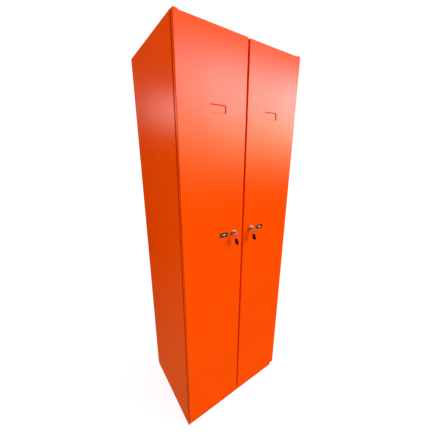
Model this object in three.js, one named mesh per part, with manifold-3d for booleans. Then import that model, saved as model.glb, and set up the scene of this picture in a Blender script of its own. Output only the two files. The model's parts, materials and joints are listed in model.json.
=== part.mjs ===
// A two-door steel school locker: a carcass of folded sheet panels, two overlay doors that swing on
// concealed pivot pins, a cam lock in each door, and a key with its ring and fob in each lock.
//
// Millimetres. +X runs along the front to the right, +Y to the back and +Z up. The origin is on the
// floor, under the middle of the carcass.

import * as THREE from 'three';
import { mergeVertices } from 'three/addons/utils/BufferGeometryUtils.js';
import Module from 'manifold-3d';

// ---------------------------------------------------------------- driving dimensions

const WIDTH = 610;
const DEPTH = 460; // door face to back
const HEIGHT = 1780;

const SHEET = 1.0; // side, back, partition and door sheet
const FRAME_SHEET = 1.2; // top, floor, stiles and rails
const GAP = 0.3; // between pieces that rest on each other
const PAST = 5; // how far a cutting tool runs past what it cuts

const DOOR_THICKNESS = 15;
const DOOR_REAR_GAP = 4.5; // between the door and the front of the carcass
const DOOR_MIDDLE_GAP = 6; // between the two doors
const DOOR_BOTTOM = 51.5;
const DOOR_TOP = 1778;
const DOOR_LIP = 13; // inward fold round the back of the door

const BASE_HEIGHT = 62; // underside of the floor panel
const STILE_WIDTH = 22;
const FOLD_DEPTH = 18; // how far the frame's returns run back
const HEADER_HEIGHT = 39;

const HEM = 1.4; // how far the centre stile's hems stand back from it
const PLINTH_RETURN = 22; // how far the front plinth's returns run back
const STRINGER_HALF = 16; // half the width of the stringer under the partition

const SHELF_HEIGHT = 1450;
const SHELF_LIP = 20;
const SHELF_SETBACK = 25;
const RAIL_HEIGHT = 1385;
const RAIL_Y = 10;
const RAIL_RADIUS = 10;
const RAIL_WALL = 1.5;

const PIVOT_INBOARD = 6.5; // pivot axis, in from the door's outer side
const PIVOT_FORWARD = 9; // pivot axis, ahead of the door's rear plane
const PIN_RADIUS = 2.5;
const BUSH_RADIUS = 3.4;
const EAR_WIDTH = 17; // lug over, and bracket under, each door's pivot corner
const BRACKET_TOP = 50;
const BRACKET_THICKNESS = 2;
const BRACKET_LEG = 20;
const LUG_SETBACK = 1; // lugs and brackets stand back from the door's face
const PIN_HEAD = 1.5; // thickness of the pins' heads and of the upper bushes' flanges
const PIN_HEAD_RADIUS = 4.5;
const PIN_REACH = 13; // of each pin into its end of the door
const BUSH_FLANGE_RADIUS = 5.4; // of the lower bushes, which carry the doors
const BUSH_COLLAR_RADIUS = 4.6; // of the upper bushes, inside the doors
const BUSH_REACH = 4; // of the lower bushes into the doors

const STIFFENER_X = 215;
const STIFFENER_CREST = 15; // half the width of the hat's top
const STIFFENER_FOOT = 18; // half the width between the hat's flanges
const STIFFENER_HALF = 30; // half the width over the flanges
const STIFFENER_CLEAR = 3.5; // the hat's top stands off the door's rear plane
const STIFFENER_END = 60; // short of the door's ends by this much
const BUFFER_RADIUS = 5;
const BUFFER_X = 11;
const BUFFER_HEIGHTS = [['lower', 160], ['upper', 1660]];

const LOCK_X = 53;
const LOCK_HEIGHT = 1028;
const LOCK_PROUD = 3.8; // lock head in front of the door
const LOCK_HEAD_RADIUS = 11.5;
const LOCK_BEVEL = 1.4; // round the front of the head
const LOCK_BARREL_RADIUS = 8.1;
const LOCK_NUT_RADIUS = 13; // over the corners
const LOCK_NUT_THICKNESS = 4;
const PLUG_RADIUS = 5.5;
const KEYWAY_DEPTH = 18;
const CAM_REACH = 43;
const CAM_HUB = 9;
const CAM_TIP = 6.5; // half the width of the cam's end
const CAM_CHAMFER = 3;
const CAM_THICKNESS = 2.5;
const CAM_CLEAR = 0.7; // between the cam and the hems of the centre stile
const BOSS = 7; // square end of the plug that drives the cam
const BOSS_ROOT = 2; // how far the boss runs into the plug
const CAM_SCREW_RADIUS = 1.8;
const CAM_SCREW_HEAD = 3; // thickness
const CAM_SCREW_SLOT = 1.2; // width, and depth too

const KEY_THICKNESS = 2;
const KEY_BLADE_HEIGHT = 7.6;
const KEY_BLADE_LENGTH = 16.5; // in the plug
const KEY_TIP = 2; // length of the notch under the blade's tip
const KEY_TIP_DROP = 1.6; // the tip starts this far below the blade's back
const KEY_TIP_SLOPE = 3.5; // length of the slope down to the tip
const KEY_TIP_HEIGHT = 1.4;
const KEY_SHOULDER = 1.5; // bow's start, out from the lock's face
const KEY_BOW_RADIUS = 5.5; // half the height of the bow, and its round end
const KEY_HOLE = 20.5; // hole for the ring, out from the lock's face
const KEY_HOLE_RADIUS = 2.8;
const RING_RADIUS = 11; // centreline
const RING_WIRE = 0.8; // radius
const RING_SAG = 1.5; // the ring's wire rests low in the key's hole
const RING_TURN = THREE.MathUtils.degToRad(8); // off square to the key
const FOB_LENGTH = 32;
const FOB_WIDTH = 18;
const FOB_THICKNESS = 2.4;
const FOB_DROP = 13.6; // from the ring's wire to the middle of the fob
const FOB_LUG = 3.7; // radius of the lug round the fob's hole
const FOB_LUG_DROP = 1; // from the ring's wire to the middle of the lug
const FOB_HOLE_RADIUS = 1.9;
const FOB_HOLE_DROP = 0.8;
const FOB_LEAN = THREE.MathUtils.degToRad(16); // its foot leans out from the door
const FOB_TURN = THREE.MathUtils.degToRad(15); // off square to the door

const BADGE_X = 107;
const BADGE_HEIGHT = 1026;
const BADGE_LENGTH = 44;
const BADGE_WIDTH = 19;
const BADGE_THICKNESS = 1.6;
const BADGE_RIVET_SPACING = 33;
const RIVET_RADIUS = 1.5;
const RIVET_HEAD_RADIUS = 2.5;
const RIVET_HEAD = 1; // thickness
const RIVET_TAIL = 3; // behind the door's face

const LABEL_X = 139;
const LABEL_HEIGHT = 1523.5;
const LABEL_SIZE = [68, 26];
const LABEL_DEPTH = 3.5;

// ---------------------------------------------------------------- planes worked out from them

const OUTER_X = WIDTH / 2;
const INNER_X = OUTER_X - SHEET - GAP; // widest that a piece between the side panels may be
const DOOR_FACE = -DEPTH / 2;
const DOOR_REAR = DOOR_FACE + DOOR_THICKNESS;
const FRONT = DOOR_REAR + DOOR_REAR_GAP; // front of the carcass
const BACK = DEPTH / 2;
const BACK_INNER = BACK - SHEET - GAP;
const STILE_BACK = FRONT + FRAME_SHEET + GAP;
const FOLD_BACK = FRONT + FOLD_DEPTH;
const TOP_UNDERSIDE = HEIGHT - FRAME_SHEET;
const FLOOR_TOP = BASE_HEIGHT + FRAME_SHEET;
const PARTITION_SIDE = SHEET / 2 + GAP;
const PIVOT_X = OUTER_X - PIVOT_INBOARD;
const PIVOT_Y = DOOR_REAR - PIVOT_FORWARD;
const LOCK_FACE = DOOR_FACE - LOCK_PROUD;
const BARREL_END = FRONT + 1;
const CAM_FRONT = FRONT + FRAME_SHEET + HEM + CAM_CLEAR;
const CAM_BACK = CAM_FRONT + CAM_THICKNESS;
const RING_TOP = LOCK_HEIGHT - RING_SAG;
const KEY_HOLE_Y = LOCK_FACE - KEY_HOLE;
const FOB_HANG = RING_TOP - 2 * RING_RADIUS;

const SIDES = [['left', -1], ['right', 1]];

// ---------------------------------------------------------------- finishes

const finish = (color, roughness, metalness) => ({ color, roughness, metalness });
const CARCASS_PAINT = finish(0xe04a00, 0.4, 0);
const DOOR_PAINT = finish(0xff5200, 0.35, 0);
const ZINC = finish(0xb9bcc0, 0.35, 1);
const NICKEL = finish(0xcfc8bc, 0.22, 1);
const BLACK_PLASTIC = finish(0x141211, 0.3, 0);
const WHITE_NYLON = finish(0xe8e6df, 0.5, 0);
const RUBBER = finish(0x202020, 0.8, 0);

// ---------------------------------------------------------------- solids

const wasm = await Module();
wasm.setup();

function toSolid(geometry) {
  const plain = geometry.index ? geometry.toNonIndexed() : geometry.clone();
  plain.deleteAttribute('normal');
  plain.deleteAttribute('uv');
  const welded = mergeVertices(plain, 1e-4);
  return new wasm.Manifold(new wasm.Mesh({
    numProp: 3,
    vertProperties: new Float32Array(welded.attributes.position.array),
    triVerts: new Uint32Array(welded.index.array),
  }));
}

function toGeometry(solid) {
  const mesh = solid.getMesh();
  const geometry = new THREE.BufferGeometry();
  const positions = new Float32Array(mesh.vertProperties);
  geometry.setAttribute('position', new THREE.BufferAttribute(positions, 3));
  geometry.setIndex(new THREE.BufferAttribute(new Uint32Array(mesh.triVerts), 1));
  return geometry;
}

function cut(geometry, ...tools) {
  return toGeometry(tools.reduce((left, tool) => left.subtract(toSolid(tool)), toSolid(geometry)));
}

function join(geometry, ...others) {
  return toGeometry(others.reduce((whole, other) => whole.add(toSolid(other)), toSolid(geometry)));
}

// A block between two values on each axis, given in either order.
function block([x0, x1], [y0, y1], [z0, z1]) {
  const size = [x1 - x0, y1 - y0, z1 - z0].map(Math.abs);
  return new THREE.BoxGeometry(...size).translate((x0 + x1) / 2, (y0 + y1) / 2, (z0 + z1) / 2);
}

// An upright round bar at x, y between two heights.
function uprightBar(radius, [x, y], [z0, z1], segments = 20) {
  const bar = new THREE.CylinderGeometry(radius, radius, Math.abs(z1 - z0), segments);
  return bar.rotateX(Math.PI / 2).translate(x, y, (z0 + z1) / 2);
}

// A round bar that runs front to back at x, z.
function levelBar(radius, [x, z], [y0, y1], segments = 24) {
  const bar = new THREE.CylinderGeometry(radius, radius, Math.abs(y1 - y0), segments);
  return bar.translate(0, (y0 + y1) / 2, 0).translate(x, 0, z);
}

function outline(points) {
  return new THREE.Shape(points.map(([u, v]) => new THREE.Vector2(u, v)));
}

function extrude(shape, depth, curveSegments = 10) {
  return new THREE.ExtrudeGeometry(shape, { depth, bevelEnabled: false, curveSegments });
}

// A section drawn in X and Y, run up from z0 to z1.
function alongZ(shape, [z0, z1]) {
  return extrude(shape, z1 - z0).translate(0, 0, z0);
}

// A section drawn in Y and Z, run along X from x0 to x1.
function alongX(shape, [x0, x1], curveSegments) {
  const length = Math.abs(x1 - x0);
  const run = extrude(shape, length, curveSegments).rotateY(Math.PI / 2).rotateX(Math.PI / 2);
  return run.translate(Math.min(x0, x1), 0, 0);
}

// A section drawn in X and Z, run back along Y from y0 to y1.
function alongY(shape, [y0, y1], curveSegments) {
  return extrude(shape, y1 - y0, curveSegments).rotateX(Math.PI / 2).translate(0, y1, 0);
}

// A channel section in Y and Z: a web at y0, with returns that run from it to y1 at both ends.
function channel([y0, y1], [z0, z1], sheet = FRAME_SHEET) {
  const inner = y0 + Math.sign(y1 - y0) * sheet;
  return outline([
    [y0, z0], [y1, z0], [y1, z0 + sheet], [inner, z0 + sheet],
    [inner, z1 - sheet], [y1, z1 - sheet], [y1, z1], [y0, z1],
  ]);
}

const locker = new THREE.Group();

function add(name, geometry, paint) {
  const mesh = new THREE.Mesh(geometry, new THREE.MeshStandardMaterial(paint));
  mesh.name = name;
  locker.add(mesh);
}

// ---------------------------------------------------------------- carcass

function addPanels() {
  for (const [side, s] of SIDES) {
    const outer = [s * (OUTER_X - SHEET), s * OUTER_X];
    add(`side_panel_${side}`, block(outer, [FRONT, BACK], [0, HEIGHT]), CARCASS_PAINT);
  }
  add(
    'back_panel',
    block([-INNER_X, INNER_X], [BACK - SHEET, BACK], [0, TOP_UNDERSIDE - GAP]),
    CARCASS_PAINT,
  );
  add(
    'floor_panel',
    block([-INNER_X, INNER_X], [FRONT, BACK_INNER], [BASE_HEIGHT, FLOOR_TOP]),
    CARCASS_PAINT,
  );
}

// The top has a lug over each door's outer corner, with a hole for the pivot pin.
function addTop() {
  const level = [TOP_UNDERSIDE, HEIGHT];
  let top = block([-INNER_X, INNER_X], [FRONT, BACK], level);
  for (const [, s] of SIDES) {
    const lug = [s * (INNER_X - EAR_WIDTH), s * INNER_X];
    const hole = uprightBar(PIN_RADIUS + GAP, [s * PIVOT_X, PIVOT_Y], [HEIGHT - PAST, HEIGHT + PAST]);
    top = join(top, block(lug, [DOOR_FACE + LUG_SETBACK, FRONT + PAST], level));
    top = cut(top, hole);
  }
  add('top_panel', top, CARCASS_PAINT);
}

// The partition stands on the floor between the two compartments. Its top front corner is notched
// round the header rail.
function addPartition() {
  const bottom = FLOOR_TOP + GAP;
  const top = TOP_UNDERSIDE - GAP;
  const notch = [FOLD_BACK + GAP, top - HEADER_HEIGHT - GAP];
  const section = outline([
    [STILE_BACK, bottom], [BACK_INNER, bottom], [BACK_INNER, top],
    [notch[0], top], notch, [STILE_BACK, notch[1]],
  ]);
  add('centre_partition', alongX(section, [-SHEET / 2, SHEET / 2]), CARCASS_PAINT);
}

function addFrame() {
  const stile = [FLOOR_TOP + GAP, TOP_UNDERSIDE - GAP];
  const back = FRONT + FRAME_SHEET;
  for (const [side, s] of SIDES) {
    const inner = INNER_X - STILE_WIDTH;
    const section = outline([
      [s * INNER_X, FRONT], [s * INNER_X, back], [s * (inner + FRAME_SHEET), back],
      [s * (inner + FRAME_SHEET), FOLD_BACK], [s * inner, FOLD_BACK], [s * inner, FRONT],
    ]);
    add(`side_stile_${side}`, alongZ(section, stile), CARCASS_PAINT);
  }

  const between = INNER_X - STILE_WIDTH - GAP;
  const headerBottom = stile[1] - HEADER_HEIGHT;
  add(
    'header_rail',
    alongX(channel([FRONT, FOLD_BACK], [headerBottom, stile[1]]), [-between, between]),
    CARCASS_PAINT,
  );

  // The centre stile is a strip whose two long edges are hemmed back.
  const hem = back + HEM;
  const strip = outline([
    [-STILE_WIDTH, FRONT], [STILE_WIDTH, FRONT], [STILE_WIDTH, hem],
    [STILE_WIDTH - FRAME_SHEET, hem], [STILE_WIDTH - FRAME_SHEET, back],
    [FRAME_SHEET - STILE_WIDTH, back], [FRAME_SHEET - STILE_WIDTH, hem], [-STILE_WIDTH, hem],
  ]);
  add('centre_stile', alongZ(strip, [stile[0], headerBottom - GAP]), CARCASS_PAINT);
}

function addBase() {
  const height = [0, BASE_HEIGHT - GAP];
  const across = [-INNER_X, INNER_X];
  const front = channel([FRONT, FRONT + PLINTH_RETURN], height);
  const rear = channel([BACK_INNER, BACK_INNER - FOLD_DEPTH], height);
  add('plinth_front', alongX(front, across), CARCASS_PAINT);
  add('plinth_rear', alongX(rear, across), CARCASS_PAINT);

  // The stringer is a channel that stands on its web, under the partition.
  const half = STRINGER_HALF;
  const stringer = outline([
    [-half, 0], [half, 0], [half, height[1]], [half - FRAME_SHEET, height[1]],
    [half - FRAME_SHEET, FRAME_SHEET], [FRAME_SHEET - half, FRAME_SHEET],
    [FRAME_SHEET - half, height[1]], [-half, height[1]],
  ]);
  const run = [FRONT + PLINTH_RETURN + GAP, BACK_INNER - FOLD_DEPTH - GAP];
  add('base_stringer', alongY(stringer, run), CARCASS_PAINT);
}

function addFittings() {
  const front = FRONT + SHELF_SETBACK;
  const top = SHELF_HEIGHT + FRAME_SHEET;
  const shelf = outline([
    [front, top - SHELF_LIP], [front + FRAME_SHEET, top - SHELF_LIP],
    [front + FRAME_SHEET, SHELF_HEIGHT], [BACK_INNER, SHELF_HEIGHT], [BACK_INNER, top], [front, top],
  ]);
  const tube = new THREE.Shape().absarc(0, 0, RAIL_RADIUS, 0, 2 * Math.PI);
  tube.holes.push(new THREE.Path().absarc(0, 0, RAIL_RADIUS - RAIL_WALL, 0, 2 * Math.PI));
  for (const [side, s] of SIDES) {
    const across = [s * PARTITION_SIDE, s * INNER_X];
    add(`shelf_${side}`, alongX(shelf, across), CARCASS_PAINT);
    add(`coat_rail_${side}`, alongX(tube, across, 12).translate(0, RAIL_Y, RAIL_HEIGHT), NICKEL);
  }
}

// ---------------------------------------------------------------- door pivots

function addPivots() {
  for (const [side, s] of SIDES) {
    const at = [s * PIVOT_X, PIVOT_Y];
    const across = [s * (INNER_X - EAR_WIDTH), s * INNER_X];
    const under = BRACKET_TOP - BRACKET_THICKNESS;
    const leg = [FRONT - GAP - BRACKET_THICKNESS, FRONT - GAP];
    const bracket = join(
      block(across, [DOOR_FACE + LUG_SETBACK, FRONT - GAP], [under, BRACKET_TOP]),
      block(across, leg, [under - BRACKET_LEG, BRACKET_TOP]),
    );
    add(
      `hinge_bracket_${side}`,
      cut(bracket, uprightBar(PIN_RADIUS + GAP, at, [under - PAST, BRACKET_TOP + PAST])),
      CARCASS_PAINT,
    );

    // Each pin is headed: the lower one under its bracket, the upper one inside the door.
    const lowerHead = under - GAP;
    const lower = join(
      uprightBar(PIN_HEAD_RADIUS, at, [lowerHead - PIN_HEAD, lowerHead]),
      uprightBar(PIN_RADIUS, at, [lowerHead - PIN_HEAD / 2, DOOR_BOTTOM + PIN_REACH]),
    );
    add(`hinge_pin_lower_${side}`, lower, ZINC);
    const upperHead = DOOR_TOP - PIN_REACH;
    const upper = join(
      uprightBar(PIN_HEAD_RADIUS, at, [upperHead - PIN_HEAD, upperHead]),
      uprightBar(PIN_RADIUS, at, [upperHead - PIN_HEAD / 2, HEIGHT - GAP]),
    );
    add(`hinge_pin_upper_${side}`, upper, ZINC);

    // The lower bush carries the door on its flange. The upper one is flanged inside the door.
    const bore = uprightBar(PIN_RADIUS + GAP, at, [0, HEIGHT + PAST]);
    const flange = [BRACKET_TOP + GAP, DOOR_BOTTOM - GAP];
    const lowerBush = join(
      uprightBar(BUSH_FLANGE_RADIUS, at, flange),
      uprightBar(BUSH_RADIUS, at, [BRACKET_TOP + 2 * GAP, DOOR_BOTTOM + BUSH_REACH]),
    );
    add(`hinge_bush_lower_${side}`, cut(lowerBush, bore), WHITE_NYLON);
    const underReturn = DOOR_TOP - SHEET - GAP;
    const upperBush = join(
      uprightBar(BUSH_COLLAR_RADIUS, at, [underReturn - PIN_HEAD, underReturn]),
      uprightBar(BUSH_RADIUS, at, [underReturn - PIN_HEAD / 2, DOOR_TOP + GAP]),
    );
    add(`hinge_bush_upper_${side}`, cut(upperBush, bore), WHITE_NYLON);
  }
}

// ---------------------------------------------------------------- doors

// The skin is one folded pan: a front sheet, a return round all four edges and a lip inside them,
// with a pressed recess for a name label.
function doorSkin(s) {
  const [near, far] = [DOOR_MIDDLE_GAP / 2, OUTER_X];
  const xInset = (d) => [s * (near + d), s * (far - d)];
  const zInset = (d) => [DOOR_BOTTOM + d, DOOR_TOP - d];
  const [labelHalfWidth, labelHalfHeight] = LABEL_SIZE.map((size) => size / 2);
  const labelX = (margin) => [-1, 1].map((end) => s * LABEL_X + end * (labelHalfWidth + margin));
  const labelZ = (margin) => [-1, 1].map((end) => LABEL_HEIGHT + end * (labelHalfHeight + margin));

  let pan = cut(
    block(xInset(0), [DOOR_FACE, DOOR_REAR], zInset(0)),
    block(xInset(SHEET), [DOOR_FACE + SHEET, DOOR_REAR - SHEET], zInset(SHEET)),
    block(xInset(SHEET + DOOR_LIP), [DOOR_REAR - PAST, DOOR_REAR + PAST], zInset(SHEET + DOOR_LIP)),
  );
  const pressed = [DOOR_FACE + SHEET / 2, DOOR_FACE + LABEL_DEPTH + SHEET];
  pan = join(pan, block(labelX(SHEET), pressed, labelZ(SHEET)));
  const rivetX = [-1, 1].map((end) => s * BADGE_X + (end * BADGE_RIVET_SPACING) / 2);
  const throughFront = [DOOR_FACE - PAST, DOOR_FACE + PAST];
  const pivot = (z) => uprightBar(BUSH_RADIUS + GAP, [s * PIVOT_X, PIVOT_Y], [z - PAST, z + PAST]);
  return cut(
    pan,
    block(labelX(0), [DOOR_FACE - PAST, DOOR_FACE + LABEL_DEPTH], labelZ(0)),
    levelBar(LOCK_BARREL_RADIUS + GAP, [s * LOCK_X, LOCK_HEIGHT], throughFront),
    ...rivetX.map((x) => levelBar(RIVET_RADIUS + GAP, [x, BADGE_HEIGHT], throughFront, 12)),
    pivot(DOOR_BOTTOM),
    pivot(DOOR_TOP),
  );
}

// A hat section bonded to the inside of the door sheet.
function stiffener(s) {
  const [front, back] = [DOOR_FACE + SHEET + GAP, DOOR_REAR - STIFFENER_CLEAR];
  const [half, foot, crest] = [STIFFENER_HALF, STIFFENER_FOOT, STIFFENER_CREST];
  const rightHalf = [
    [crest, back], [foot, front + SHEET], [half, front + SHEET],
    [half, front], [foot - SHEET, front], [crest - SHEET, back - SHEET],
  ];
  const leftHalf = rightHalf.map(([x, y]) => [-x, y]).reverse();
  const section = outline([...rightHalf, ...leftHalf].map(([x, y]) => [s * (STIFFENER_X + x), y]));
  return alongZ(section, [DOOR_BOTTOM + STIFFENER_END, DOOR_TOP - STIFFENER_END]);
}

function oval(length, width) {
  const r = width / 2;
  const half = length / 2 - r;
  return new THREE.Shape()
    .absarc(half, 0, r, -Math.PI / 2, Math.PI / 2)
    .absarc(-half, 0, r, Math.PI / 2, (3 * Math.PI) / 2);
}

function addBadge(side, s) {
  const back = DOOR_FACE - GAP;
  const face = back - BADGE_THICKNESS;
  const half = BADGE_RIVET_SPACING / 2;
  const rivets = [
    ['inner', [s * (BADGE_X - half), BADGE_HEIGHT]],
    ['outer', [s * (BADGE_X + half), BADGE_HEIGHT]],
  ];
  const plate = alongY(oval(BADGE_LENGTH, BADGE_WIDTH), [face, back]);
  const through = [face - PAST, back + PAST];
  const holes = rivets.map(([, at]) => levelBar(RIVET_RADIUS + GAP, at, through, 12));
  add(
    `badge_plate_${side}`,
    cut(plate.translate(s * BADGE_X, 0, BADGE_HEIGHT), ...holes),
    BLACK_PLASTIC,
  );
  const underHead = face - GAP;
  for (const [end, at] of rivets) {
    const rivet = join(
      levelBar(RIVET_HEAD_RADIUS, at, [underHead - RIVET_HEAD, underHead], 16),
      levelBar(RIVET_RADIUS, at, [underHead - RIVET_HEAD / 2, DOOR_FACE + RIVET_TAIL], 12),
    );
    add(`badge_rivet_${end}_${side}`, rivet, NICKEL);
  }
}

function addDoors() {
  for (const [side, s] of SIDES) {
    add(`door_skin_${side}`, doorSkin(s), DOOR_PAINT);
    add(`door_stiffener_${side}`, stiffener(s), DOOR_PAINT);
    const seat = [DOOR_REAR + GAP, FRONT - GAP];
    for (const [place, z] of BUFFER_HEIGHTS) {
      const buffer = levelBar(BUFFER_RADIUS, [s * BUFFER_X, z], seat, 16);
      add(`door_buffer_${place}_${side}`, buffer, RUBBER);
    }
    addBadge(side, s);
  }
}

// ---------------------------------------------------------------- locks

// A ring turned about the lock's axis, from [radius, y] pairs.
function turned(profile, s, segments = 28) {
  const points = profile.map(([radius, y]) => new THREE.Vector2(radius, y));
  const ring = new THREE.LatheGeometry([...points, points[0]], segments);
  return ring.translate(s * LOCK_X, 0, LOCK_HEIGHT);
}

function lockBody(s) {
  const bore = PLUG_RADIUS + GAP;
  return turned([
    [bore, LOCK_FACE], [LOCK_HEAD_RADIUS - LOCK_BEVEL, LOCK_FACE],
    [LOCK_HEAD_RADIUS, LOCK_FACE + LOCK_BEVEL],
    [LOCK_HEAD_RADIUS, DOOR_FACE - GAP], [LOCK_BARREL_RADIUS, DOOR_FACE - GAP],
    [LOCK_BARREL_RADIUS, BARREL_END], [bore, BARREL_END],
  ], s);
}

function lockNut(s) {
  const at = [s * LOCK_X, LOCK_HEIGHT];
  const front = DOOR_FACE + SHEET + GAP;
  const back = front + LOCK_NUT_THICKNESS;
  const hexagon = levelBar(LOCK_NUT_RADIUS, at, [front, back], 6);
  return cut(hexagon, levelBar(LOCK_BARREL_RADIUS + GAP, at, [front - PAST, back + PAST]));
}

// The plug has the keyway in front and a square boss, tapped for the cam screw, behind.
function lockPlug(s) {
  const at = [s * LOCK_X, LOCK_HEIGHT];
  const half = BOSS / 2;
  const boss = block(
    [at[0] - half, at[0] + half],
    [CAM_FRONT - BOSS_ROOT, CAM_BACK - GAP],
    [LOCK_HEIGHT - half, LOCK_HEIGHT + half],
  );
  const keyway = block(
    [at[0] - KEY_THICKNESS / 2 - GAP, at[0] + KEY_THICKNESS / 2 + GAP],
    [LOCK_FACE - PAST, LOCK_FACE + KEYWAY_DEPTH],
    [LOCK_HEIGHT - KEY_BLADE_HEIGHT / 2 - GAP, LOCK_HEIGHT + KEY_BLADE_HEIGHT / 2 + GAP],
  );
  const barrel = levelBar(PLUG_RADIUS, at, [LOCK_FACE + GAP, CAM_FRONT - GAP]);
  const tapped = levelBar(CAM_SCREW_RADIUS + GAP, at, [CAM_FRONT - BOSS_ROOT, CAM_BACK + PAST], 12);
  return cut(join(barrel, boss), keyway, tapped);
}

// The cam hangs down when the lock is open.
function lockCam(s) {
  const shape = new THREE.Shape()
    .absarc(0, 0, CAM_HUB, 0, Math.PI)
    .lineTo(-CAM_TIP, CAM_CHAMFER - CAM_REACH)
    .lineTo(CAM_CHAMFER - CAM_TIP, -CAM_REACH)
    .lineTo(CAM_TIP - CAM_CHAMFER, -CAM_REACH)
    .lineTo(CAM_TIP, CAM_CHAMFER - CAM_REACH);
  const plate = alongY(shape, [CAM_FRONT, CAM_BACK], 8).translate(s * LOCK_X, 0, LOCK_HEIGHT);
  const half = BOSS / 2 + GAP;
  return cut(plate, block(
    [s * LOCK_X - half, s * LOCK_X + half],
    [CAM_FRONT - PAST, CAM_BACK + PAST],
    [LOCK_HEIGHT - half, LOCK_HEIGHT + half],
  ));
}

function camScrew(s) {
  const at = [s * LOCK_X, LOCK_HEIGHT];
  const seat = CAM_BACK + GAP;
  const end = seat + CAM_SCREW_HEAD;
  const head = levelBar(PLUG_RADIUS, at, [seat, end], 20);
  const shank = levelBar(CAM_SCREW_RADIUS, at, [CAM_FRONT - BOSS_ROOT + GAP, seat + GAP], 12);
  const slot = block(
    [at[0] - PLUG_RADIUS - PAST, at[0] + PLUG_RADIUS + PAST],
    [end - CAM_SCREW_SLOT, end + PAST],
    [LOCK_HEIGHT - CAM_SCREW_SLOT / 2, LOCK_HEIGHT + CAM_SCREW_SLOT / 2],
  );
  return cut(join(head, shank), slot);
}

// A flat key: a blade with a notch near its tip, a shoulder and a slim bow with a hole for the ring.
// Drawn with the distance out from the lock's face and the height from its axis.
function key(s) {
  const half = KEY_BLADE_HEIGHT / 2;
  const tip = half - KEY_TIP_DROP;
  const shape = new THREE.Shape()
    .moveTo(-KEY_BLADE_LENGTH, tip)
    .lineTo(KEY_TIP - KEY_BLADE_LENGTH, tip - KEY_TIP_HEIGHT)
    .lineTo(KEY_TIP - KEY_BLADE_LENGTH, -half)
    .lineTo(KEY_SHOULDER, -half)
    .lineTo(KEY_SHOULDER, -KEY_BOW_RADIUS)
    .absarc(KEY_HOLE, 0, KEY_BOW_RADIUS, -Math.PI / 2, Math.PI / 2)
    .lineTo(KEY_SHOULDER, KEY_BOW_RADIUS)
    .lineTo(KEY_SHOULDER, half)
    .lineTo(KEY_TIP_SLOPE - KEY_BLADE_LENGTH, half);
  shape.holes.push(new THREE.Path().absarc(KEY_HOLE, 0, KEY_HOLE_RADIUS, 0, 2 * Math.PI));
  const flat = extrude(shape, KEY_THICKNESS, 20).translate(0, 0, -KEY_THICKNESS / 2);
  return flat.rotateX(Math.PI / 2).rotateZ(-Math.PI / 2).translate(s * LOCK_X, LOCK_FACE, LOCK_HEIGHT);
}

// The ring hangs through the key's hole, nearly square to the key.
function keyRing(s) {
  const ring = new THREE.TorusGeometry(RING_RADIUS, RING_WIRE, 8, 32).rotateX(Math.PI / 2);
  return ring.rotateZ(RING_TURN).translate(s * LOCK_X, KEY_HOLE_Y, RING_TOP - RING_RADIUS);
}

// An oval tag that hangs from the ring by a lug on its outer edge, so its foot leans out.
function keyFob(s) {
  const body = new THREE.Shape()
    .absellipse(0, -FOB_DROP, FOB_WIDTH / 2, FOB_LENGTH / 2, 0, 2 * Math.PI, false, -FOB_LEAN);
  const lug = new THREE.Shape().absarc(0, -FOB_LUG_DROP, FOB_LUG, 0, 2 * Math.PI);
  const hole = new THREE.Shape().absarc(0, -FOB_HOLE_DROP, FOB_HOLE_RADIUS, 0, 2 * Math.PI);
  const solid = (shape, thickness) => extrude(shape, thickness, 20).translate(0, 0, -thickness / 2);
  const tag = cut(
    join(solid(body, FOB_THICKNESS), solid(lug, FOB_THICKNESS)),
    solid(hole, 2 * FOB_THICKNESS),
  );
  return tag
    .rotateX(Math.PI / 2)
    .rotateZ(Math.PI / 2 + FOB_TURN)
    .translate(s * LOCK_X, KEY_HOLE_Y, FOB_HANG);
}

function addLocks() {
  for (const [side, s] of SIDES) {
    add(`lock_body_${side}`, lockBody(s), NICKEL);
    add(`lock_nut_${side}`, lockNut(s), ZINC);
    add(`lock_plug_${side}`, lockPlug(s), NICKEL);
    add(`lock_cam_${side}`, lockCam(s), ZINC);
    add(`cam_screw_${side}`, camScrew(s), ZINC);
    add(`key_${side}`, key(s), NICKEL);
    add(`key_ring_${side}`, keyRing(s), NICKEL);
    add(`key_fob_${side}`, keyFob(s), BLACK_PLASTIC);
  }
}

addPanels();
addTop();
addPartition();
addFrame();
addBase();
addFittings();
addPivots();
addDoors();
addLocks();

export default locker;
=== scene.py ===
"""A two-door school locker: folded sheet steel, cam locks with keys, in a plain pale studio.

Metres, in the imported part's frame: +X right along the front, +Y back, +Z up, origin on the floor.
"""
import json
import math

import bmesh
import bpy
from mathutils import Matrix, Vector


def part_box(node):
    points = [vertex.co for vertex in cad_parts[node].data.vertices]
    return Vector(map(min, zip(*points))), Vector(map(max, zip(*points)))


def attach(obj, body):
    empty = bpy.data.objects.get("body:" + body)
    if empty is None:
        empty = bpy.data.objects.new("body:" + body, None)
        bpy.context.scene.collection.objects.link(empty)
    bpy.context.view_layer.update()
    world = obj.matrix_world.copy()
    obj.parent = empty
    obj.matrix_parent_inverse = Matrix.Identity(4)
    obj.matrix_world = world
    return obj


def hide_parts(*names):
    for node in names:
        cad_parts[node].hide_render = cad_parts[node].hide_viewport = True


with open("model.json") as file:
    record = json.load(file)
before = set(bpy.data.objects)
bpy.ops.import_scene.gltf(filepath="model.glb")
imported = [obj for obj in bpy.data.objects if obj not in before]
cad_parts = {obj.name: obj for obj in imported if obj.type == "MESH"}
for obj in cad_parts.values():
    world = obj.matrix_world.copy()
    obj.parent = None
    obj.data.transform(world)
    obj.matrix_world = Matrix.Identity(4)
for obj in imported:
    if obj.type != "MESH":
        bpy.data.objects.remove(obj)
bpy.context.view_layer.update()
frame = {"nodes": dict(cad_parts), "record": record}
nodes = frame["nodes"]
scene = bpy.context.scene

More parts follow.
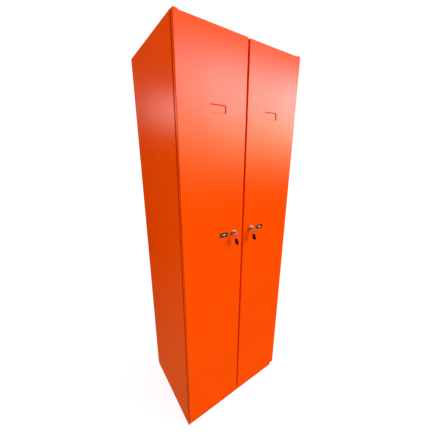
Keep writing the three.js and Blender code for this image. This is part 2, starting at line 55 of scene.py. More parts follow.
MM = 0.001
SIDES = ("left", "right")
BODIES = frame["record"]["behaviour"]["bodies"]
BODY_OF = {node: body for body, names in BODIES.items() for node in names}

# ------------------------------------------------------------------ camera

CAMERA_AT = (-0.641, -0.950, 1.364)
CAMERA_AZIMUTH = 34.77
CAMERA_PITCH = -16.11
CAMERA_ROLL = 0.19
CAMERA_LENS = 18.107
CAMERA_SENSOR = 36


def make_camera():
    azimuth, pitch, roll = map(math.radians, (CAMERA_AZIMUTH, CAMERA_PITCH, CAMERA_ROLL))
    level = Vector((math.cos(azimuth), -math.sin(azimuth), 0))
    flat = Vector((math.sin(azimuth), math.cos(azimuth), 0))
    forward = flat * math.cos(pitch) + Vector((0, 0, math.sin(pitch)))
    upright = level.cross(forward)
    right = level * math.cos(roll) + upright * math.sin(roll)
    up = upright * math.cos(roll) - level * math.sin(roll)
    camera = bpy.data.objects.new("camera", bpy.data.cameras.new("camera"))
    scene.collection.objects.link(camera)
    camera.data.lens = CAMERA_LENS
    camera.data.sensor_width = CAMERA_SENSOR
    camera.data.clip_start = 0.01
    turn = Matrix((right, up, -forward)).transposed().to_4x4()
    camera.matrix_world = Matrix.Translation(CAMERA_AT) @ turn
    scene.camera = camera


# ------------------------------------------------------------------ node trees

class Tree:
    """Short calls for building a node tree."""

    def __init__(self, tree):
        self.tree = tree

    def add(self, kind, links=None, **values):
        """A node, with its sockets set or linked by name or number, and its properties set."""
        node = self.tree.nodes.new(kind)
        for name, value in values.items():
            setattr(node, name, value)
        for socket, value in (links or {}).items():
            self.put(node.inputs[socket], value)
        return node

    def put(self, socket, value):
        if isinstance(value, bpy.types.NodeSocket):
            self.tree.links.new(value, socket)
        else:
            socket.default_value = value

    def math(self, operation, *values):
        return self.add("ShaderNodeMath", dict(enumerate(values)), operation=operation).outputs[0]

    def ramp(self, value, stops, smooth=False):
        """A colour ramp over (position, colour) stops."""
        node = self.add("ShaderNodeValToRGB", {0: value})
        node.color_ramp.interpolation = "EASE" if smooth else "LINEAR"
        elements = node.color_ramp.elements
        while len(elements) < len(stops):
            elements.new(0.5)
        for element, (position, colour) in zip(elements, stops):
            element.position = position
            element.color = (*colour, 1)
        return node.outputs[0]

    def span(self, value, low, high, to_low=0.0, to_high=1.0, smooth=False):
        links = {0: value, 1: low, 2: high, 3: to_low, 4: to_high}
        kind = "SMOOTHSTEP" if smooth else "LINEAR"
        return self.add("ShaderNodeMapRange", links, interpolation_type=kind).outputs[0]

    def noise(self, where, scale, detail=2.0, rough=0.5):
        links = {"Vector": where, "Scale": scale, "Detail": detail, "Roughness": rough}
        return self.add("ShaderNodeTexNoise", links).outputs[0]

    def mix(self, share, a, b):
        links = {0: share, 6: a, 7: b}
        return self.add("ShaderNodeMix", links, data_type="RGBA").outputs[2]

    def scaled(self, vector, factor):
        return self.add("ShaderNodeVectorMath", {0: vector, 3: factor}, operation="SCALE").outputs[0]

    def stretched(self, where, scale):
        return self.add("ShaderNodeMapping", {0: where, 3: scale}).outputs[0]

    def bump(self, height, distance, strength=1.0, under=None):
        links = {"Height": height, "Distance": distance, "Strength": strength}
        if under is not None:
            links["Normal"] = under
        return self.add("ShaderNodeBump", links).outputs[0]


def material(name, **sockets):
    """A Principled material with its plain values set; returns it, its tree and its shader."""
    made = bpy.data.materials.new(name)
    made.use_nodes = True
    shader = made.node_tree.nodes["Principled BSDF"]
    for socket, value in sockets.items():
        shader.inputs[socket.replace("_", " ")].default_value = value
    tree = Tree(made.node_tree)
    where = tree.add("ShaderNodeTexCoord").outputs["Object"]
    return made, tree, shader, where


# ------------------------------------------------------------------ materials

def shade(colour, factor):
    return tuple(c * factor for c in colour) + (1,)


def powder_coat(name, colour):
    """Semi-gloss powder coat on sheet steel: orange-peel texture, a little waviness in the sheet,
    and light handling marks."""
    made, tree, shader, where = material(name, Specular_IOR_Level=PAINT_SPECULAR)
    cloud = tree.noise(where, 2.2, 3)
    speck = tree.noise(where, 420, 2)
    tone = tree.mix(tree.span(cloud, 0.3, 0.7), shade(colour, 0.975), shade(colour, 1.02))
    tone = tree.mix(tree.span(speck, 0.62, 0.8, 0, 0.12), tone, shade(colour, 0.8))
    height = tree.add("ShaderNodeSeparateXYZ", {0: where}).outputs[2]
    scuffs = tree.noise(tree.stretched(where, (60, 60, 900)), 1.0, 3, 0.6)
    low = tree.span(height, 0.05, 0.0, 0, 1, True)
    rub = tree.math("MULTIPLY", tree.span(scuffs, 0.6, 0.75), tree.math("MULTIPLY", low, 0.35))
    tree.put(shader.inputs["Base Color"], tree.mix(rub, tone, shade(colour, 0.55)))
    smear = tree.noise(tree.stretched(where, (6, 6, 2)), 1.0, 4, 0.6)
    rough = tree.span(smear, 0.3, 0.75, PAINT_ROUGH - 0.015, PAINT_ROUGH + 0.03)
    tree.put(shader.inputs["Roughness"], rough)
    wave = tree.bump(tree.noise(where, 3.5, 1), 0.0006, 0.35)
    peel = tree.noise(where, 900, 2, 0.55)
    tree.put(shader.inputs["Normal"], tree.bump(peel, 0.00002, 0.5, wave))
    return made


def brushed_metal(name, colour, rough, grain=(40, 2500, 2500), marks=0.12, metallic=1.0):
    """Plated metal with fine directional scratches and a slightly uneven tone."""
    made, tree, shader, where = material(name, Metallic=metallic)
    fine = tree.noise(tree.stretched(where, grain), 1.0, 3, 0.6)
    broad = tree.noise(where, 90, 3)
    tone = tree.mix(tree.span(broad, 0.35, 0.7), shade(colour, 1.0), shade(colour, 1 - marks))
    tree.put(shader.inputs["Base Color"], tone)
    tree.put(shader.inputs["Roughness"], tree.span(fine, 0.3, 0.7, rough * 0.75, rough * 1.3))
    tree.put(shader.inputs["Normal"], tree.bump(fine, 0.000008, 0.6))
    return made


def zinc_plate(name, colour, rough):
    """Bright zinc: faint crystal patches and a soft sheen."""
    made, tree, shader, where = material(name, Metallic=1.0)
    patch = tree.add("ShaderNodeTexVoronoi", {"Vector": where, "Scale": 260}).outputs["Color"]
    grey = tree.add("ShaderNodeRGBToBW", {0: patch}).outputs[0]
    tone = tree.mix(grey, shade(colour, 0.9), shade(colour, 1.05))
    tree.put(shader.inputs["Base Color"], tone)
    tree.put(shader.inputs["Roughness"], tree.span(grey, 0, 1, rough * 0.85, rough * 1.2))
    tree.put(shader.inputs["Normal"], tree.bump(tree.noise(where, 1500, 2), 0.000008, 0.5))
    return made


def moulded(name, colour, rough, grain=1400, relief=0.00001):
    """Moulded plastic or rubber with a fine grain and slight polish where it is handled."""
    made, tree, shader, where = material(name)
    fine = tree.noise(where, grain, 2)
    broad = tree.noise(where, 120, 2)
    tree.put(shader.inputs["Base Color"], tree.mix(broad, shade(colour, 0.85), shade(colour, 1.2)))
    tree.put(shader.inputs["Roughness"], tree.span(broad, 0.3, 0.7, rough * 0.85, rough * 1.2))
    tree.put(shader.inputs["Normal"], tree.bump(fine, relief, 0.6))
    return made


PAINT_SPECULAR = 0.5
PAINT_ROUGH = 0.2
ORANGE = (0.93, 0.072, 0.0)
FINISHES = {
    "carcass_paint": powder_coat("carcass_powder_coat", ORANGE),
    "door_paint": powder_coat("door_powder_coat", ORANGE),
    "zinc_steel": zinc_plate("zinc_plate", (0.55, 0.56, 0.58), 0.32),
    # Painted reflection: the nickel's warm copper-beige colour holds the doors' orange light on top of the
    # plated metal's own tone.
    "nickel": brushed_metal("satin_nickel_painted_orange_reflection", (0.66, 0.47, 0.33), 0.6, metallic=0.4),
    "key_wire": brushed_metal("polished_wire", (0.8, 0.78, 0.74), 0.16, (300, 300, 300), 0.06),
    "chrome_tube": brushed_metal("chrome_tube", (0.78, 0.79, 0.8), 0.1, (8, 900, 900), 0.05),
    # Painted light: the black plastic's brown tint stands in for the orange light of the doors falling on
    # it.
    "black_plastic": moulded("black_plastic", (0.018, 0.006, 0.004), 0.24),
    "badge_enamel": moulded("badge_enamel", (0.014, 0.006, 0.003), 0.16, 600, 0.000004),
    "nylon": moulded("natural_nylon", (0.8, 0.78, 0.72), 0.45),
    "rubber": moulded("matt_rubber", (0.02, 0.02, 0.02), 0.75, 900, 0.00003),
    "badge_field": brushed_metal("badge_field", (0.8, 0.74, 0.72), 0.42, (60, 60, 1500), 0.1, 0.5),
}

# ------------------------------------------------------------------ pieces

FOLD_RADIUS = 1.5 * MM  # outside of a fold in the carcass sheet
DOOR_FOLD = 3.5 * MM  # outside of a fold round a door
SHEET = 1.0 * MM
DRAW_RADIUS = 1.2 * MM  # inside the edges of a pressing
BURR_RADIUS = 0.18 * MM  # a cut edge, broken and coated
PAINT_FILL = 0.16 * MM  # each carcass piece's share of the coating that closes the welded seams
SHEET_LIMIT = 1.7 * MM  # a face narrower than this is the sheet's own thickness
PRESS_LIMIT = 4.7 * MM  # a face narrower than this is the wall of a pressing
CORNER = math.radians(28)  # a softer edge than this belongs to a curve


def place(piece, body, finish, *replaced):
    """Gives a piece its body, and lets it stand for CAD nodes; the finish argument is not used."""
    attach(piece, body)
    if replaced:
        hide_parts(*replaced)


def new_piece(name, bm, finish):
    mesh = bpy.data.meshes.new(name)
    bm.normal_update()
    bm.to_mesh(mesh)
    bm.free()
    mesh.materials.append(FINISHES[finish])
    for polygon in mesh.polygons:
        polygon.use_smooth = True
    piece = bpy.data.objects.new(name, mesh)
    scene.collection.objects.link(piece)
    return piece


def solid_of(node):
    """The CAD node's solid as welded, flat-sided faces."""
    bm = bmesh.new()
    bm.from_mesh(nodes[node].data)
    bmesh.ops.remove_doubles(bm, verts=bm.verts, dist=0.002 * MM)
    bmesh.ops.dissolve_limit(bm, angle_limit=math.radians(0.5), verts=bm.verts, edges=bm.edges)
    return bm


def width_across(face, edge):
    """How far a face reaches from one of its edges."""
    a, b = (v.co for v in edge.verts)
    along = (b - a).normalized()
    reach = [((v.co - a) - along * (v.co - a).dot(along)).length for v in face.verts]
    return max(reach)


def edge_radius(edge, fold):
    """The radius that an edge of folded sheet is made to."""
    if len(edge.link_faces) != 2 or edge.calc_face_angle(0) < CORNER:
        return 0
    narrow = min(width_across(face, edge) for face in edge.link_faces)
    if edge.calc_length() < SHEET_LIMIT or narrow < SHEET_LIMIT:
        return BURR_RADIUS
    if narrow < PRESS_LIMIT:
        return min(DRAW_RADIUS + SHEET if edge.is_convex else DRAW_RADIUS, fold)
    return fold if edge.is_convex else max(fold - SHEET, BURR_RADIUS)


def thicken(bm, skin):
    """Moves every face outwards by the same small amount."""
    bm.normal_update()
    moves = [vert.normal * skin * vert.calc_shell_factor() for vert in bm.verts]
    for vert, move in zip(bm.verts, moves):
        vert.co += move


def rounded(node, finish, fold=FOLD_RADIUS, segments=3, skin=0):
    """A CAD node's piece with real fold radii and broken edges."""
    bm = solid_of(node)
    thicken(bm, skin)
    weight = bm.edges.layers.float.new("bevel_weight_edge")
    widest = max(fold, DRAW_RADIUS)
    for edge in bm.edges:
        edge[weight] = edge_radius(edge, fold) / widest
    piece = new_piece(node + "_formed", bm, finish)
    bevel = piece.modifiers.new("edges", "BEVEL")
    bevel.limit_method = "WEIGHT"
    bevel.width = widest
    bevel.segments = segments
    bevel.use_clamp_overlap = False
    bevel.miter_outer = "MITER_SHARP"
    piece.modifiers.new("normals", "WEIGHTED_NORMAL").keep_sharp = True
    place(piece, BODY_OF[node], finish, node)


def make_sheet_metal():
    for node, body in BODY_OF.items():
        if body == "carcass" and not node.startswith(("coat_rail", "hinge_pin")):
            rounded(node, "carcass_paint", skin=PAINT_FILL)
    for side in SIDES:
        rounded(f"door_skin_{side}", "door_paint", DOOR_FOLD)
        rounded(f"door_stiffener_{side}", "door_paint")


HARDWARE = (  # a node's name up to its side, its finish, and the radius of its edges
    ("hinge_pin_upper", "zinc_steel", 0.3 * MM),
    ("hinge_bush_upper", "nylon", 0.25 * MM),
    ("door_buffer_upper", "rubber", 0.5 * MM),
    ("hinge_pin_lower", "zinc_steel", 0.3 * MM),
    ("hinge_bush_lower", "nylon", 0.25 * MM),
    ("door_buffer_lower", "rubber", 0.5 * MM),
    ("coat_rail", "chrome_tube", 0.3 * MM),
    ("lock_nut", "zinc_steel", 0.4 * MM),
    ("lock_cam", "zinc_steel", 0.35 * MM),
    ("cam_screw", "zinc_steel", 0.3 * MM),
    ("lock_plug", "nickel", 0.25 * MM),
)


def make_hardware():
    for side in SIDES:
        for stem, finish, edge in HARDWARE:
            rounded(f"{stem}_{side}", finish, edge)
        make_lock_body(side)
        make_key(side)
        make_split_ring(side)
        make_fob(side)
        make_badge(side)


# ------------------------------------------------------------------ turned pieces

def middle(node):
    low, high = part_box(node)
    return (Vector(low) + Vector(high)) / 2


def arc(centre, radius, start, end, steps):
    """Points round a centre, from one angle to another, in degrees."""
    angles = [math.radians(start + (end - start) * i / steps) for i in range(steps + 1)]
    return [(centre[0] + radius * math.cos(a), centre[1] + radius * math.sin(a)) for a in angles]


ON_AXIS = 1e-9  # a radius under this is a point on the axis


def turned(name, finish, profile, at, segments):
    """A piece turned about a front-to-back axis, from (radius, y) points. A profile that doesn't start
    on the axis closes on itself."""
    bm = bmesh.new()
    rings = []
    for radius, y in profile:
        if radius < ON_AXIS:
            rings.append([bm.verts.new((at[0], y, at[2]))] * segments)
            continue
        ring = []
        for i in range(segments):
            angle = math.tau * i / segments
            x, z = at[0] + radius * math.cos(angle), at[2] + radius * math.sin(angle)
            ring.append(bm.verts.new((x, y, z)))
        rings.append(ring)
    if profile[0][0] > ON_AXIS:
        rings.append(rings[0])
    for first, second in zip(rings, rings[1:]):
        for i in range(segments):
            k = (i + 1) % segments
            corners = [first[i], first[k], second[k], second[i]]
            bm.faces.new(sorted(set(corners), key=corners.index))
    bmesh.ops.recalc_face_normals(bm, faces=bm.faces)
    piece = new_piece(name, bm, finish)
    keep_creases(piece)
    return piece


def keep_creases(piece):
    """Smooth over gentle turns, sharp over hard ones."""
    for edge, angle in zip(piece.data.edges, edge_angles(piece.data)):
        edge.use_edge_sharp = angle > CORNER


def edge_angles(mesh):
    bm = bmesh.new()
    bm.from_mesh(mesh)
    angles = [edge.calc_face_angle(0) for edge in bm.edges]
    bm.free()
    return angles


LOCK_BARREL = 8.1 * MM  # radius
LOCK_BORE = 5.8 * MM  # radius
LOCK_DOME = 0.35 * MM  # the head's face stands this far proud in the middle
LOCK_RIM = 1.3 * MM  # radius round the head's face
LOCK_MOUTH = (0.35 * MM, 0.5 * MM)  # width and depth of the chamfer round the plug
LOCK_SEAT_SINK = 0.3 * MM  # the head's underside is this far in front of the door
LOCK_EDGE = 0.3 * MM
THREAD_START = 1.6 * MM  # behind the head
THREAD_END = 2.0 * MM  # plain length at the barrel's end
BARREL_CHAMFER = (0.4 * MM, 0.5 * MM)
THREAD_PITCH = 1.0 * MM
THREAD_DEPTH = 0.3 * MM


def make_lock_body(side):
    """The lock's round head, with a threaded barrel behind the door."""
    node = f"lock_body_{side}"
    low, high = (Vector(v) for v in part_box(node))
    head = (high.x - low.x) / 2
    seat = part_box(f"door_skin_{side}")[0][1] - LOCK_SEAT_SINK
    face = low.y
    flat = head - LOCK_RIM
    mouth_width, mouth_depth = LOCK_MOUTH
    mouth = LOCK_BORE + mouth_width
    profile = [(LOCK_BORE, high.y), (LOCK_BORE, face + mouth_depth), (mouth, face)]
    for share in (0.2, 0.4, 0.6, 0.8):
        profile.append((mouth + (flat - LOCK_BORE) * share, face + LOCK_DOME * share ** 2))
    profile += arc((flat, face + LOCK_DOME + LOCK_RIM), LOCK_RIM, -80, 0, 6)
    profile += [(head, seat - LOCK_EDGE), (head - LOCK_EDGE, seat), (LOCK_BARREL, seat)]
    for turn in range(int((high.y - seat - THREAD_END) / THREAD_PITCH)):
        y = seat + THREAD_START + turn * THREAD_PITCH
        profile += [(LOCK_BARREL, y), (LOCK_BARREL - THREAD_DEPTH, y + THREAD_PITCH / 2)]
    width, depth = BARREL_CHAMFER
    profile += [(LOCK_BARREL, high.y - depth), (LOCK_BARREL - width, high.y)]
    body = turned(node + "_formed", "nickel", profile, middle(node), 64)
    place(body, BODY_OF[node], "nickel", node)


RIVET_HEAD = 1.0 * MM  # height of the domed head
RIVET_HEAD_RADIUS = 2.5 * MM
RIVET_SHANK = 1.5 * MM  # radius
RIVET_ROLL = 0.4 * MM  # radius of the rolled tail
RIVET_HOLLOW = 0.9 * MM  # radius of the hollow in the tail


def make_rivet(node):
    """A domed tubular rivet, with its tail rolled over behind."""
    low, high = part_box(node)
    face, tail = low[1], high[1]
    under = face + RIVET_HEAD
    dome = [
        (RIVET_HEAD_RADIUS * math.sin(a), under - RIVET_HEAD * math.cos(a))
        for a in (math.radians(85) * i / 7 for i in range(8))
    ]
    profile = dome + [(RIVET_HEAD_RADIUS, under), (RIVET_SHANK, under)]
    profile.append((RIVET_SHANK, tail - 2 * RIVET_ROLL))
    profile += arc((RIVET_SHANK, tail - RIVET_ROLL), RIVET_ROLL, -70, 110, 5)
    profile += [(RIVET_HOLLOW, tail - 1.25 * RIVET_ROLL), (0, tail - 1.5 * RIVET_ROLL)]
    rivet = turned(node + "_formed", "nickel", profile, middle(node), 32)
    place(rivet, BODY_OF[node], "nickel", node)


# ------------------------------------------------------------------ flat pieces

def slab(name, finish, loops, thickness, to_world):
    """A flat piece from an outline and its holes, drawn in a plane."""
    bm = bmesh.new()
    rims = []
    for z in (-thickness / 2, thickness / 2):
        edges = []
        for loop in loops:
            verts = [bm.verts.new((u, v, z)) for u, v in loop]
            edges += [bm.edges.new((verts[i - 1], verts[i])) for i in range(len(verts))]
            rims.append(verts)
        bmesh.ops.triangle_fill(bm, edges=edges, use_beauty=True, use_dissolve=False)
    for lower, upper in zip(rims[:len(loops)], rims[len(loops):]):
        for i in range(len(lower)):
            bm.faces.new((lower[i - 1], lower[i], upper[i], upper[i - 1]))
    bmesh.ops.dissolve_limit(bm, angle_limit=math.radians(0.5), verts=bm.verts, edges=bm.edges)
    bmesh.ops.recalc_face_normals(bm, faces=bm.faces)
    bmesh.ops.transform(bm, matrix=to_world, verts=bm.verts)
    return new_piece(name, bm, finish)


def break_edges(piece, radius, segments=2):
    bevel = piece.modifiers.new("edges", "BEVEL")
    bevel.limit_method = "ANGLE"
    bevel.angle_limit = CORNER
    bevel.width = radius
    bevel.segments = segments
    bevel.use_clamp_overlap = True
    piece.modifiers.new("normals", "WEIGHTED_NORMAL").keep_sharp = True


def carve(piece, cutter):
    """Takes a solid out of a piece."""
    cut = piece.modifiers.new("cut", "BOOLEAN")
    cut.object = cutter
    cut.solver = "EXACT"
    graph = bpy.context.evaluated_depsgraph_get()
    mesh = bpy.data.meshes.new_from_object(piece.evaluated_get(graph))
    piece.modifiers.clear()
    piece.data = mesh
    bpy.data.objects.remove(cutter)


KEY_BLADE_HALF = 3.8 * MM
KEY_SHOULDER = 1.5 * MM  # the bow starts this far out from the lock's face
KEY_BOW_RADIUS = 5.5 * MM
KEY_HOLE_RADIUS = 2.8 * MM
KEY_CUTS = ((4.0, 1.9), (6.8, 1.2), (9.6, 2.3), (12.4, 1.5))  # from the tip, and depth, in mm
KEY_CUT_FLAT = 0.5 * MM  # half the width of a cut's floor
KEY_CUT_SLOPE = 0.6  # how far a cut's sides lean, for each unit of its depth
KEY_EDGE = 0.15 * MM
GROOVE_DEPTH = 0.55 * MM
GROOVE_HEIGHT = 1.3 * MM
GROOVE_RISE = 0.9 * MM  # above the key's axis
GROOVE_START = 0.5 * MM  # behind the lock's face
GROOVE_PAST = 2.5 * MM  # past the key's tip


def key_outline(tip, hole):
    """The key's side view: distance out from the lock's face, and height from its axis."""
    half = KEY_BLADE_HALF
    points = [(tip, half - 1.6 * MM), (tip + 2 * MM, half - 3 * MM), (tip + 2 * MM, -half)]
    for along, depth in ((tip + a * MM, d * MM) for a, d in KEY_CUTS):
        lean = depth * KEY_CUT_SLOPE
        points += [(along - KEY_CUT_FLAT - lean, -half), (along - KEY_CUT_FLAT, depth - half)]
        points += [(along + KEY_CUT_FLAT, depth - half), (along + KEY_CUT_FLAT + lean, -half)]
    points += [(KEY_SHOULDER, -half), (KEY_SHOULDER, -KEY_BOW_RADIUS)]
    points += arc((hole, 0), KEY_BOW_RADIUS, -90, 90, 20)
    points += [(KEY_SHOULDER, KEY_BOW_RADIUS), (KEY_SHOULDER, half), (tip + 3.5 * MM, half)]
    return points


def make_key(side):
    """A flat key with cuts along its lower edge, a milled groove on both faces and a slim bow."""
    node = f"key_{side}"
    low, high = (Vector(v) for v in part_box(node))
    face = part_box(f"lock_body_{side}")[0][1]
    at = middle(node)
    thickness = high.x - low.x
    hole = face - low.y - KEY_BOW_RADIUS
    tip = face - high.y
    loops = [key_outline(tip, hole), arc((hole, 0), KEY_HOLE_RADIUS, 0, 345, 23)]
    to_world = Matrix((
        (0, 0, -1, at.x),
        (-1, 0, 0, face),
        (0, 1, 0, at.z),
        (0, 0, 0, 1),
    ))
    key = slab(node + "_formed", "nickel", loops, thickness, to_world)
    start, end = face + GROOVE_START, high.y + GROOVE_PAST
    for turn in (-1, 1):
        bm = bmesh.new()
        bmesh.ops.create_cube(bm, size=1)
        size = Matrix.Diagonal((2 * GROOVE_DEPTH, end - start, GROOVE_HEIGHT, 1))
        centre = (at.x + turn * thickness / 2, (start + end) / 2, at.z + GROOVE_RISE)
        bmesh.ops.transform(bm, matrix=Matrix.Translation(centre) @ size, verts=bm.verts)
        carve(key, new_piece("groove", bm, "nickel"))
    break_edges(key, KEY_EDGE)
    place(key, BODY_OF[node], "nickel", node)


WIRE_HALF_WIDTH = 0.52 * MM  # across the flat wire
WIRE_HALF_THICKNESS = 0.34 * MM
COIL_OFFSET = 0.37 * MM  # of each of the two coils from the ring's middle plane
RING_TURN = math.radians(8)  # off square to the key
CROSSING = math.radians(14)  # half the arc over which the wire steps from coil to coil
RING_SPLIT = math.radians(205)  # where it does so
RING_END = 1.15 * CROSSING  # each end of the wire is this far from the crossing's middle
RING_STEPS = 144
RING_RIM = 0.8 * MM  # from the ring's outside to the middle of its wire


def make_split_ring(side):
    """A split ring: flat wire wound in two coils that lie against each other."""
    node = f"key_ring_{side}"
    at = middle(node)
    low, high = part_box(node)
    radius = (high[2] - low[2]) / 2 - RING_RIM
    across = Vector((math.cos(RING_TURN), math.sin(RING_TURN), 0))
    axis = Vector((-math.sin(RING_TURN), math.cos(RING_TURN), 0))
    section = [
        (u * WIRE_HALF_WIDTH, w * WIRE_HALF_THICKNESS)
        for u, w in ((1, -0.4), (1, 0.4), (0.7, 1), (-0.7, 1), (-1, 0.4), (-1, -0.4), (-0.7, -1), (0.7, -1))
    ]
    sweep = 2 * (math.tau - RING_END)
    bm = bmesh.new()
    rings = []
    for i in range(RING_STEPS + 1):
        angle = RING_END + sweep * i / RING_STEPS
        share = min(max((angle - math.tau + CROSSING) / (2 * CROSSING), 0), 1)
        offset = COIL_OFFSET * (2 * share * share * (3 - 2 * share) - 1)
        outward = across * math.cos(angle + RING_SPLIT) + Vector((0, 0, math.sin(angle + RING_SPLIT)))
        centre = at + axis * offset
        rings.append([bm.verts.new(centre + outward * (radius + u) + axis * w) for u, w in section])
    count = len(section)
    for first, second in zip(rings, rings[1:]):
        for i in range(count):
            bm.faces.new((first[i], first[(i + 1) % count], second[(i + 1) % count], second[i]))
    bm.faces.new(rings[0])
    bm.faces.new(rings[-1])
    bmesh.ops.recalc_face_normals(bm, faces=bm.faces)
    ring = new_piece(node + "_wire", bm, "key_wire")
    keep_creases(ring)
    place(ring, BODY_OF[node], "key_wire", node)


def sunk_faces(bm, rim, depth):
    """Sinks the two broad faces of a plate inside a raised rim."""
    broad = max(bm.faces, key=lambda face: face.calc_area()).normal.copy()
    for turn in (broad, -broad):
        faces = [face for face in bm.faces if face.normal.dot(turn) > 0.999]
        bmesh.ops.inset_region(
            bm, faces=faces, thickness=rim, depth=-depth, use_even_offset=False, use_boundary=True,
        )


FOB_RIM = 0.9 * MM
FOB_SINK = 0.35 * MM
FOB_EDGE = 0.3 * MM


def make_fob(side):
    """A moulded oval tag with a raised rim round it and round its hole."""
    node = f"key_fob_{side}"
    bm = solid_of(node)
    sunk_faces(bm, FOB_RIM, FOB_SINK)
    fob = new_piece(node + "_formed", bm, "black_plastic")
    break_edges(fob, FOB_EDGE, 3)
    place(fob, BODY_OF[node], "black_plastic", node)


BADGE_RIM = 0.9 * MM
BADGE_SINK = 0.45 * MM
BADGE_EDGE = 0.2 * MM
BADGE_FIELD_SIZE = (14 * MM, 6.5 * MM)
FIELD_THICKNESS = 0.3 * MM
FIELD_CORNER = 1.5 * MM
FIELD_EDGE = 0.08 * MM


def make_badge(side):
    """An oval plate with a raised rim, a plain bright field in the middle, and its two rivets."""
    node = f"badge_plate_{side}"
    bm = solid_of(node)
    sunk_faces(bm, BADGE_RIM, BADGE_SINK)
    plate = new_piece(node + "_formed", bm, "badge_enamel")
    break_edges(plate, BADGE_EDGE)
    place(plate, BODY_OF[node], "badge_enamel", node)

    at = middle(node)
    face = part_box(node)[0][1] + BADGE_SINK - FIELD_THICKNESS / 2
    half_width, half_height = (size / 2 for size in BADGE_FIELD_SIZE)
    loop = []
    for turn, (u, v) in enumerate(((1, 1), (-1, 1), (-1, -1), (1, -1))):
        centre = (u * (half_width - FIELD_CORNER), v * (half_height - FIELD_CORNER))
        loop += arc(centre, FIELD_CORNER, 90 * turn, 90 * (turn + 1), 5)
    to_world = Matrix.Translation((at.x, face, at.z)) @ Matrix.Rotation(math.radians(90), 4, "X")
    field = slab(f"badge_field_{side}", "badge_field", [loop], FIELD_THICKNESS, to_world)
    break_edges(field, FIELD_EDGE)
    place(field, BODY_OF[node], "badge_enamel")
    for end in ("inner", "outer"):
        make_rivet(f"badge_rivet_{end}_{side}")


# ------------------------------------------------------------------ studio

def direction(azimuth, elevation):
    """A unit vector: azimuth from straight in front towards +X, elevation above level, in degrees."""
    a, e = math.radians(azimuth), math.radians(elevation)
    return Vector((math.sin(a) * math.cos(e), -math.cos(a) * math.cos(e), math.sin(e)))


def soft_sun(name, azimuth, elevation, strength, angle):
    lamp = bpy.data.lights.new(name, "SUN")
    lamp.energy = strength
    lamp.angle = math.radians(angle)
    lamp.cycles.use_multiple_importance_sampling = False
    sun = bpy.data.objects.new(name, lamp)
    scene.collection.objects.link(sun)
    sun.rotation_mode = "QUATERNION"
    sun.rotation_quaternion = direction(azimuth, elevation).to_track_quat("Z", "Y")
    sun.visible_glossy = False


BACKDROP = 1.05  # behind the object
FILL = 0.06  # even light from all round
WINDOW_LOW, WINDOW_HIGH = -0.25, 0.65  # rise over run from the object, at the window's foot and top
WINDOW = (  # how far up it, and its colour there
    (0.02, (0, 0, 0)),
    (0.18, (0.16, 0.12, 0.06)),
    (0.33, (0.50, 0.40, 0.25)),
    (0.46, (0.82, 0.71, 0.58)),
    (0.59, (1.0, 0.92, 0.96)),
    (0.70, (1.0, 0.90, 1.0)),
    (0.78, (0.60, 0.54, 0.62)),
    (0.85, (0.16, 0.14, 0.15)),
    (0.92, (0.03, 0.025, 0.025)),
)
WINDOW_GLOW = 8.6
BACK_GLOW = 2.0
WALL_GLOW = 1.8
OVERHEAD_GLOW = 1.6
ROOM_GLOW = 0.02  # above level
FLOOR_GLOW = 0.17  # below it
FLOOR_TINT = (1.0, 0.85, 0.35, 1)


def make_world():
    """White behind the object, an even fill, and the panels that show in glossy surfaces."""
    world = bpy.data.worlds.new("studio")
    scene.world = world
    world.use_nodes = True
    world.cycles.sampling_method = "NONE"
    tree = Tree(world.node_tree)
    world.node_tree.nodes.remove(world.node_tree.nodes["Background"])
    split = tree.add("ShaderNodeSeparateXYZ", {0: tree.add("ShaderNodeTexCoord").outputs["Generated"]})
    x, y, z = split.outputs

    path = tree.add("ShaderNodeLightPath").outputs
    seen = glossy_surroundings(tree, x, y, z)
    gloss = tree.add("ShaderNodeBackground", {0: seen, 1: 1.0})
    fill = tree.add("ShaderNodeBackground", {0: (1, 1, 1, 1), 1: FILL})
    backdrop = tree.add("ShaderNodeBackground", {0: (1, 1, 1, 1), 1: BACKDROP})
    layers = fill.outputs[0]
    for ray, layer in (("Is Glossy Ray", gloss), ("Is Camera Ray", backdrop)):
        links = {0: path[ray], 1: layers, 2: layer.outputs[0]}
        layers = tree.add("ShaderNodeMixShader", links).outputs[0]
    tree.put(world.node_tree.nodes["World Output"].inputs[0], layers)


def pane(tree, x, away, z, left, right):
    """A tall soft-edged window in a plane ahead: away is the distance to it along each direction."""
    away = tree.math("MAXIMUM", away, 0.02)
    rise = tree.math("DIVIDE", z, away)
    run = tree.math("DIVIDE", x, away)
    glow = tree.ramp(tree.span(rise, WINDOW_LOW, WINDOW_HIGH), WINDOW)
    width = tree.math(
        "MULTIPLY",
        tree.span(run, *left, 0, 1, True),
        tree.span(run, *right, 1, 0, True),
    )
    ahead = tree.span(away, 0.03, 0.12, 0, 1)
    return glow, tree.math("MULTIPLY", width, ahead)


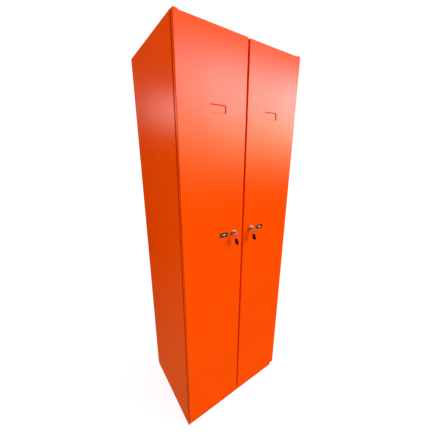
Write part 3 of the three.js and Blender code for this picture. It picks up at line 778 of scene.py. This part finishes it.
def glossy_surroundings(tree, x, y, z):
    """A window in front, a fainter one behind, a pale wall behind to the left, a lit ceiling, and a
    floor that glows most to the left."""
    front, front_share = pane(tree, x, tree.math("MULTIPLY", y, -1), z, (-0.2, 0.9), (3.0, 6.0))
    rear, rear_share = pane(tree, x, y, z, (-0.15, 0.2), (2.0, 4.0))
    windows = tree.add("ShaderNodeVectorMath", {
        0: tree.scaled(tree.mix(front_share, (0, 0, 0, 1), front), WINDOW_GLOW),
        1: tree.scaled(tree.mix(rear_share, (0, 0, 0, 1), rear), BACK_GLOW),
    }, operation="ADD").outputs[0]

    bearing = tree.math("ARCTAN2", x, tree.math("MULTIPLY", y, -1))
    band = tree.math(
        "MULTIPLY",
        tree.span(z, 0.05, 0.17, 0, 1, True),
        tree.span(z, 0.27, 0.17, 0, 1, True),
    )
    reach = tree.math(
        "MULTIPLY",
        tree.span(bearing, math.radians(-161.5), math.radians(-156.5), 0, 1, True),
        tree.span(bearing, math.radians(-100), math.radians(-125), 0, 1, True),
    )
    wall = tree.math("MULTIPLY", band, tree.math("MULTIPLY", reach, WALL_GLOW))
    ceiling = tree.span(z, 0.6, 0.8, 0, OVERHEAD_GLOW, True)
    room = tree.span(z, -0.05, 0.2, 0, ROOM_GLOW, True)
    even = tree.math("ADD", tree.math("ADD", wall, ceiling), room)
    lit = tree.add("ShaderNodeVectorMath", {0: windows, 1: even}, operation="ADD").outputs[0]

    near = tree.span(x, 0.3, -0.5, FLOOR_GLOW / 4, FLOOR_GLOW, True)
    floor = tree.mix(tree.span(z, -0.4, -0.75, 0, near), (0, 0, 0, 1), FLOOR_TINT)
    return tree.add("ShaderNodeVectorMath", {0: lit, 1: floor}, operation="ADD").outputs[0]


FLOOR_LIGHT = 0.84  # the floor's own glow, which keeps it close to white


def make_floor():
    """A plain pale floor that stays close to white."""
    bm = bmesh.new()
    bmesh.ops.create_circle(bm, cap_ends=True, segments=64, radius=40)
    mesh = bpy.data.meshes.new("floor")
    bm.to_mesh(mesh)
    bm.free()
    floor = bpy.data.objects.new("floor", mesh)
    scene.collection.objects.link(floor)
    made, tree, shader, where = material("floor_paint", Roughness=0.9, Specular_IOR_Level=0.0)
    speck = tree.noise(where, 30, 2)
    tree.put(shader.inputs["Base Color"], tree.mix(speck, (0.19, 0.19, 0.19, 1), (0.21, 0.21, 0.21, 1)))
    shader.inputs["Emission Color"].default_value = (1, 1, 1, 1)
    shader.inputs["Emission Strength"].default_value = FLOOR_LIGHT
    mesh.materials.append(made)
    floor.visible_glossy = False
    floor.visible_diffuse = False
    floor.visible_shadow = False


def make_studio():
    scene.view_settings.view_transform = "Standard"
    make_world()
    make_floor()
    soft_sun("window_sun", 50, 12, 2.5, 26)
    soft_sun("right_fill", 55, 45, 3.25, 60)
    soft_sun("left_fill", -125, 20, 3.2, 90)
    soft_sun("rear_fill", 150, 30, 1.2, 120)
    soft_sun("floor_bounce", 50, -25, 0.85, 60)


make_camera()
make_sheet_metal()
make_hardware()
make_studio()
